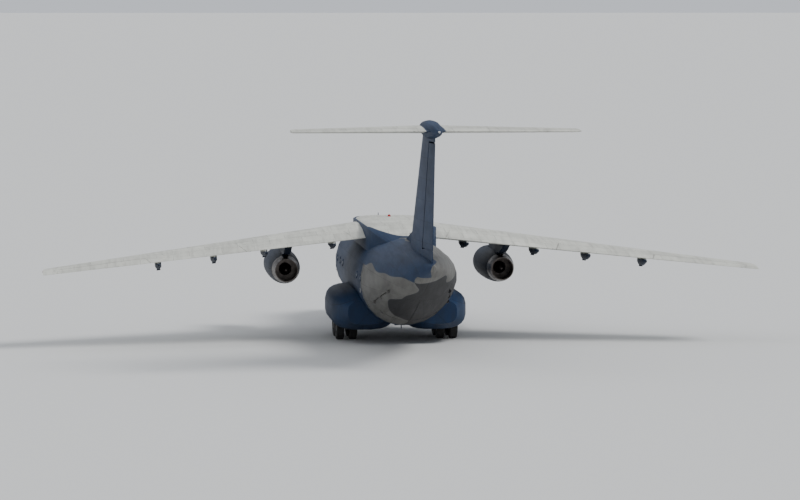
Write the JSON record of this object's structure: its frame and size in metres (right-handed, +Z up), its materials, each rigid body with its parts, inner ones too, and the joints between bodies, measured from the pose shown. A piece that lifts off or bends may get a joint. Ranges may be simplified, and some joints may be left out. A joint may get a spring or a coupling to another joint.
{
  "type": "twin-turbofan military transport plane",
  "caption": "High-wing, T-tailed military transport plane with two underwing turbofans, rear cargo ramp and petal doors, parked on its landing gear.",
  "frame": {"origin": "on the ground under the middle of the aircraft", "axes": "-Y towards the nose, +X along the port wing, +Z up"},
  "size_m": [30.6234, 29, 9.99],
  "materials": {
    "radome": "satin",
    "hull_paint": "satin",
    "wing_paint": "satin",
    "engine_paint": "satin",
    "hot_metal": "satin",
    "steel": "satin",
    "tyre": "matte",
    "deck": "satin",
    "glass": "gloss",
    "seat_cloth": "matte",
    "panel": "matte"
  },
  "bodies": {
    "airframe": {"radome": "radome", "fuselage_front": "hull_paint", "cockpit_glass": "glass", "fuselage_centre": "hull_paint", "cockpit_floor": "deck", "cargo_floor": "deck", "instrument_panel": "panel", "pilot_seat_left": "seat_cloth", "pilot_seat_right": "seat_cloth", "paratroop_door_left": "hull_paint", "paratroop_door_right": "hull_paint", "fuselage_rear": "hull_paint", "tail_cone": "hull_paint", "wheel_fairing_left": "hull_paint", "wheel_fairing_right": "hull_paint", "main_leg_left": "steel", "main_leg_right": "steel", "nose_leg": "steel", "nose_gear_door_left": "hull_paint", "nose_gear_door_right": "hull_paint", "wing_left": "wing_paint", "wing_right": "wing_paint", "slat_left": "wing_paint", "slat_right": "wing_paint", "wing_centre": "hull_paint", "nacelle_left": "engine_paint", "nacelle_right": "engine_paint", "exhaust_nozzle_left": "hot_metal", "exhaust_nozzle_right": "hot_metal", "engine_core_left": "steel", "engine_core_right": "steel", "pylon_left": "engine_paint", "pylon_right": "engine_paint", "fin": "hull_paint", "tailplane": "wing_paint"},
    "nose_steering": {"nose_strut": "steel"},
    "nose_wheel_pair": {"nose_wheels": "tyre"},
    "main_wheels_front_left_pair": {"main_wheels_front_left": "tyre"},
    "main_wheels_rear_left_pair": {"main_wheels_rear_left": "tyre"},
    "main_wheels_front_right_pair": {"main_wheels_front_right": "tyre"},
    "main_wheels_rear_right_pair": {"main_wheels_rear_right": "tyre"},
    "fan_rotor_left": {"fan_left": "steel"},
    "fan_rotor_right": {"fan_right": "steel"},
    "rudder_surface": {"rudder": "hull_paint"},
    "elevator_surface_left": {"elevator_left": "wing_paint"},
    "elevator_surface_right": {"elevator_right": "wing_paint"},
    "aileron_surface_left": {"aileron_left": "wing_paint"},
    "aileron_surface_right": {"aileron_right": "wing_paint"},
    "flap_inner_surface_left": {"flap_inner_left": "wing_paint"},
    "flap_inner_surface_right": {"flap_inner_right": "wing_paint"},
    "flap_outer_surface_left": {"flap_outer_left": "wing_paint"},
    "flap_outer_surface_right": {"flap_outer_right": "wing_paint"},
    "spoiler_surface_left": {"spoiler_left": "wing_paint"},
    "spoiler_surface_right": {"spoiler_right": "wing_paint"},
    "ramp": {"cargo_ramp": "hull_paint"},
    "petal_left": {"petal_door_left": "hull_paint"},
    "petal_right": {"petal_door_right": "hull_paint"},
    "crew_door_leaf": {"crew_door": "hull_paint"}
  },
  "joints": [
    {"name": "nose_steer", "type": "hinge", "parent": "airframe", "child": "nose_steering", "pos_m": [0, -11.6, 0.8], "axis": [0, 0, 1], "range_deg": [-60, 60]},
    {"name": "nose_wheels_turn", "type": "hinge", "parent": "nose_steering", "child": "nose_wheel_pair", "pos_m": [0, -11.6, 0.4], "axis": [1, 0, 0], "continuous": true},
    {"name": "main_wheels_front_left_turn", "type": "hinge", "parent": "airframe", "child": "main_wheels_front_left_pair", "pos_m": [2.2, -2.92, 0.57], "axis": [1, 0, 0], "continuous": true},
    {"name": "main_wheels_rear_left_turn", "type": "hinge", "parent": "airframe", "child": "main_wheels_rear_left_pair", "pos_m": [2.2, -1.62, 0.57], "axis": [1, 0, 0], "continuous": true},
    {"name": "main_wheels_front_right_turn", "type": "hinge", "parent": "airframe", "child": "main_wheels_front_right_pair", "pos_m": [-2.2, -2.92, 0.57], "axis": [1, 0, 0], "continuous": true},
    {"name": "main_wheels_rear_right_turn", "type": "hinge", "parent": "airframe", "child": "main_wheels_rear_right_pair", "pos_m": [-2.2, -1.62, 0.57], "axis": [1, 0, 0], "continuous": true},
    {"name": "fan_turn_left", "type": "hinge", "parent": "airframe", "child": "fan_rotor_left", "pos_m": [4.75, -6.28, 2.98], "axis": [0, 1, 0], "continuous": true},
    {"name": "fan_turn_right", "type": "hinge", "parent": "airframe", "child": "fan_rotor_right", "pos_m": [-4.75, -6.28, 2.98], "axis": [0, 1, 0], "continuous": true},
    {"name": "rudder_turn", "type": "hinge", "parent": "airframe", "child": "rudder_surface", "pos_m": [0, 10.41482, 5], "axis": [0, 0.3458, 0.9383], "range_deg": [-25, 25]},
    {"name": "elevator_turn_left", "type": "hinge", "parent": "airframe", "child": "elevator_surface_left", "pos_m": [0.66, 12.47121, 9.63], "axis": [0.9773, 0.2121, 0], "range_deg": [-20, 25]},
    {"name": "elevator_turn_right", "type": "hinge", "parent": "airframe", "child": "elevator_surface_right", "pos_m": [-0.66, 12.47121, 9.63], "axis": [0.9773, -0.2121, 0], "range_deg": [-20, 25]},
    {"name": "aileron_turn_left", "type": "hinge", "parent": "airframe", "child": "aileron_surface_left", "pos_m": [10.99357, 0.72876, 3.6775], "axis": [0.9697, 0.2244, -0.097], "range_deg": [-20, 20]},
    {"name": "aileron_turn_right", "type": "hinge", "parent": "airframe", "child": "aileron_surface_right", "pos_m": [-10.99357, 0.72876, 3.6775], "axis": [0.9697, -0.2244, 0.097], "range_deg": [-20, 20]},
    {"name": "flap_inner_turn_left", "type": "hinge", "parent": "airframe", "child": "flap_inner_surface_left", "pos_m": [2.25107, -1.28378, 4.0714], "axis": [-0.97, -0.2244, 0.0934], "range_deg": [0, 40]},
    {"name": "flap_inner_turn_right", "type": "hinge", "parent": "airframe", "child": "flap_inner_surface_right", "pos_m": [-2.25107, -1.28378, 4.0714], "axis": [-0.97, 0.2244, -0.0934], "range_deg": [0, 40]},
    {"name": "flap_outer_turn_left", "type": "hinge", "parent": "airframe", "child": "flap_outer_surface_left", "pos_m": [6.90953, -0.20613, 3.62284], "axis": [-0.97, -0.2244, 0.0934], "range_deg": [0, 40]},
    {"name": "flap_outer_turn_right", "type": "hinge", "parent": "airframe", "child": "flap_outer_surface_right", "pos_m": [-6.90953, -0.20613, 3.62284], "axis": [-0.97, 0.2244, -0.0934], "range_deg": [0, 40]},
    {"name": "spoiler_turn_left", "type": "hinge", "parent": "airframe", "child": "spoiler_surface_left", "pos_m": [3.21278, -1.89093, 4.70302], "axis": [0.9588, 0.2617, -0.1102], "range_deg": [0, 50]},
    {"name": "spoiler_turn_right", "type": "hinge", "parent": "airframe", "child": "spoiler_surface_right", "pos_m": [-3.21278, -1.89093, 4.70302], "axis": [0.9588, -0.2617, 0.1102], "range_deg": [0, 50]},
    {"name": "ramp_turn", "type": "hinge", "parent": "airframe", "child": "ramp", "pos_m": [0, 1.3, 0.9], "axis": [-1, 0, 0], "range_deg": [0, 29]},
    {"name": "petal_turn_left", "type": "hinge", "parent": "airframe", "child": "petal_left", "pos_m": [1.58057, 3.91, 2.04857], "axis": [0.0895, -0.9706, -0.2236], "range_deg": [0, 80]},
    {"name": "petal_turn_right", "type": "hinge", "parent": "airframe", "child": "petal_right", "pos_m": [-1.58057, 3.91, 2.04857], "axis": [0.0895, 0.9706, 0.2236], "range_deg": [0, 80]},
    {"name": "crew_door_turn", "type": "hinge", "parent": "airframe", "child": "crew_door_leaf", "pos_m": [1.38554, -9.95, 1.45], "axis": [0, 1, 0], "range_deg": [0, 120]}
  ],
  "couplings": [
    {"joint": "elevator_turn_right", "follows": "elevator_turn_left", "ratio": 1},
    {"joint": "aileron_turn_right", "follows": "aileron_turn_left", "ratio": -1},
    {"joint": "flap_inner_turn_right", "follows": "flap_inner_turn_left", "ratio": 1},
    {"joint": "flap_outer_turn_left", "follows": "flap_inner_turn_left", "ratio": 1},
    {"joint": "flap_outer_turn_right", "follows": "flap_inner_turn_left", "ratio": 1},
    {"joint": "spoiler_turn_right", "follows": "spoiler_turn_left", "ratio": 1},
    {"joint": "petal_turn_right", "follows": "petal_turn_left", "ratio": 1}
  ]
}
